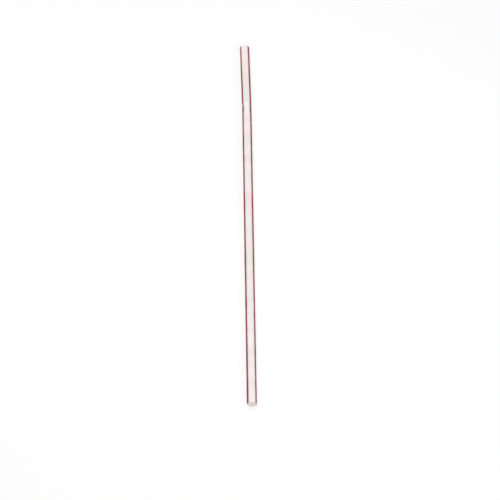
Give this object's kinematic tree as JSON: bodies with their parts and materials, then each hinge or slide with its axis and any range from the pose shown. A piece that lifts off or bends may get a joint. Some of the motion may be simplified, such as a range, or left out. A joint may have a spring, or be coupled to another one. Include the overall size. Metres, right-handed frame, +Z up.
{
  "type": "flexible drinking straw",
  "caption": "Thin-walled plastic drinking straw with a folded flexible neck near one end, square-cut mouths and lengthwise coloured stripes.",
  "frame": {"origin": "centre of the footprint on the surface that the straw lies on", "axes": "the long arm runs along Y with its mouth at -Y and the drinking end at +Y, the neck bends a little towards -X, and +Z points up from the surface"},
  "size_m": [0.0056, 0.208, 0.005],
  "materials": {
    "striped_plastic": "translucent white polypropylene with a soft sheen, with three thin dark red stripes along the outside, a third of a turn apart"
  },
  "bodies": {
    "root": {"straw": "striped_plastic"}
  },
  "joints": []
}
